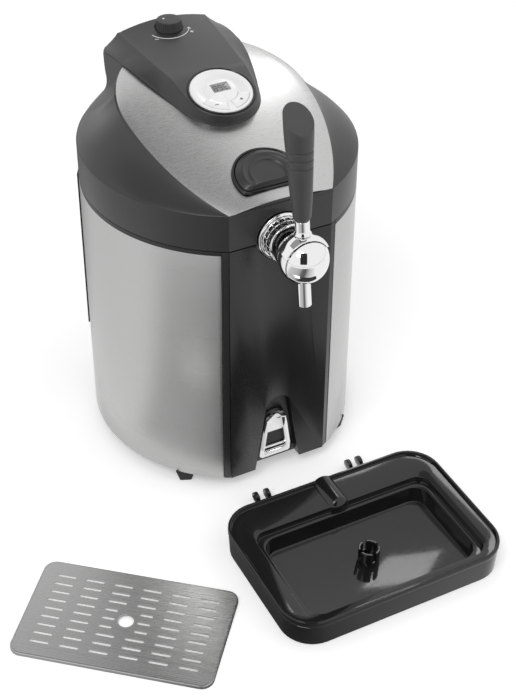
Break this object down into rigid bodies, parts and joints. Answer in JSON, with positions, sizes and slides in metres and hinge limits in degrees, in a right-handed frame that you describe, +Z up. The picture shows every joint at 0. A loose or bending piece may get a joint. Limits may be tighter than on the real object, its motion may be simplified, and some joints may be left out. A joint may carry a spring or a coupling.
{
  "type": "mini keg beer dispenser",
  "caption": "Cooled dispenser for a party keg: steel-clad body, hinged lid with control pod, ball tap with a long handle, and a loose drip tray with its slotted grate.",
  "frame": {"origin": "floor level, under the middle of the body's plan", "axes": "+X to the right of someone facing the tap, +Y to the rear, +Z up"},
  "size_m": [0.474, 0.5175, 0.4519],
  "materials": {
    "satin_black": "satin",
    "dark_grey": "satin",
    "gloss_black": "gloss",
    "brushed_steel": "brushed",
    "chrome": "polished",
    "well_aluminium": "satin",
    "bare_aluminium": "satin",
    "steel": "plain",
    "black_steel": "satin",
    "rubber": "matt",
    "foam": "matt",
    "light_plastic": "satin",
    "silver_plastic": "satin",
    "screen": "gloss",
    "brass": "plain",
    "ceramic": "matt",
    "board": "satin",
    "hose": "satin"
  },
  "bodies": {
    "housing": {"base_plate": "dark_grey", "feet": "rubber", "left_panel": "brushed_steel", "right_panel": "brushed_steel", "left_post": "dark_grey", "right_post": "dark_grey", "front_panel": "satin_black", "rear_cover": "dark_grey", "rear_grille": "dark_grey", "rear_screws": "steel", "body_rim": "dark_grey", "keg_well": "well_aluminium", "front_foam": "foam", "rear_foam": "foam", "cold_block": "bare_aluminium", "peltier_module": "ceramic", "heat_sink": "bare_aluminium", "fan_frame": "dark_grey", "power_board": "board", "power_inlet": "gloss_black", "tap_bracket": "black_steel", "tap_shank": "steel", "shank_nut": "steel", "tap_collar": "chrome", "tap_body": "chrome", "tap_front": "chrome", "tap_spout": "chrome", "tap_pin": "steel", "hinge_pins": "steel", "catch_pin": "steel"},
    "lid": {"lid_hinges": "black_steel", "lid_shell": "satin_black", "lid_top_panel": "brushed_steel", "lid_liner": "light_plastic", "lid_seal": "rubber", "button_bezel": "gloss_black", "button_spring": "steel", "pod_shell": "satin_black", "display_ring": "gloss_black", "display_disc": "silver_plastic", "display_window": "screen", "control_board": "board", "regulator": "brass", "cartridge_sleeve": "steel", "gas_line": "hose", "beer_line": "hose", "keg_coupler": "dark_grey"},
    "tap_lever": {"tap_hood": "chrome", "tap_stem": "chrome", "tap_handle": "gloss_black"},
    "tap_piston": {"tap_piston": "brass"},
    "fan_rotor": {"fan_rotor": "dark_grey"},
    "lid_button": {"lid_button": "gloss_black"},
    "lid_latch": {"lid_latch": "black_steel"},
    "minus_button": {"minus_button": "silver_plastic"},
    "plus_button": {"plus_button": "silver_plastic"},
    "pressure_knob": {"pressure_knob": "satin_black"},
    "tray_catch": {"tray_catch": "chrome"},
    "drip_tray": {"drip_tray": "gloss_black"},
    "drip_grate": {"drip_grate": "brushed_steel"}
  },
  "joints": [
    {"name": "lid_hinge", "type": "hinge", "parent": "housing", "child": "lid", "pos_m": [0, 0.146, 0.303], "axis": [-1, 0, 0], "range_deg": [0, 75]},
    {"name": "tap_lever_hinge", "type": "hinge", "parent": "housing", "child": "tap_lever", "pos_m": [0, -0.183, 0.304], "axis": [1, 0, 0], "range_deg": [0, 40]},
    {"name": "tap_piston_slide", "type": "slide", "parent": "housing", "child": "tap_piston", "axis": [0, 1, 0], "range_m": [0, 0.005]},
    {"name": "fan_spin", "type": "hinge", "parent": "housing", "child": "fan_rotor", "pos_m": [0, 0.1053, 0.165], "axis": [0, 1, 0], "continuous": true},
    {"name": "lid_button_press", "type": "slide", "parent": "lid", "child": "lid_button", "axis": [0, 0.3024, -0.9532], "range_m": [0, 0.0035], "stiffness_N_per_m": 400, "springref_m": -0.002},
    {"name": "lid_latch_slide", "type": "slide", "parent": "lid", "child": "lid_latch", "axis": [0, 1, 0], "range_m": [0, 0.003]},
    {"name": "minus_button_press", "type": "slide", "parent": "lid", "child": "minus_button", "axis": [0, 0.2504, -0.9681], "range_m": [0, 0.0008], "stiffness_N_per_m": 500, "springref_m": -0.0005},
    {"name": "plus_button_press", "type": "slide", "parent": "lid", "child": "plus_button", "axis": [0, 0.2504, -0.9681], "range_m": [0, 0.0008], "stiffness_N_per_m": 500, "springref_m": -0.0005},
    {"name": "pressure_knob_turn", "type": "hinge", "parent": "lid", "child": "pressure_knob", "pos_m": [0, 0.111, 0.4086], "axis": [0, 0, 1], "range_deg": [0, 180]},
    {"name": "tray_catch_tilt", "type": "hinge", "parent": "housing", "child": "tray_catch", "pos_m": [0, -0.1314, 0.026], "axis": [1, 0, 0], "range_deg": [0, 20]},
    {"name": "drip_tray_slide", "type": "slide", "parent": "housing", "child": "drip_tray", "axis": [-0.2078, 0.9782, 0], "range_m": [0, 0.0578]},
    {"name": "drip_grate_lift", "type": "slide", "parent": "housing", "child": "drip_grate", "axis": [0, 0, 1], "range_m": [0, 0.1]}
  ],
  "couplings": [
    {"joint": "tap_piston_slide", "follows": "tap_lever_hinge", "m_per_rad": 0.007162},
    {"joint": "lid_latch_slide", "follows": "lid_button_press", "ratio": 0.85714}
  ]
}
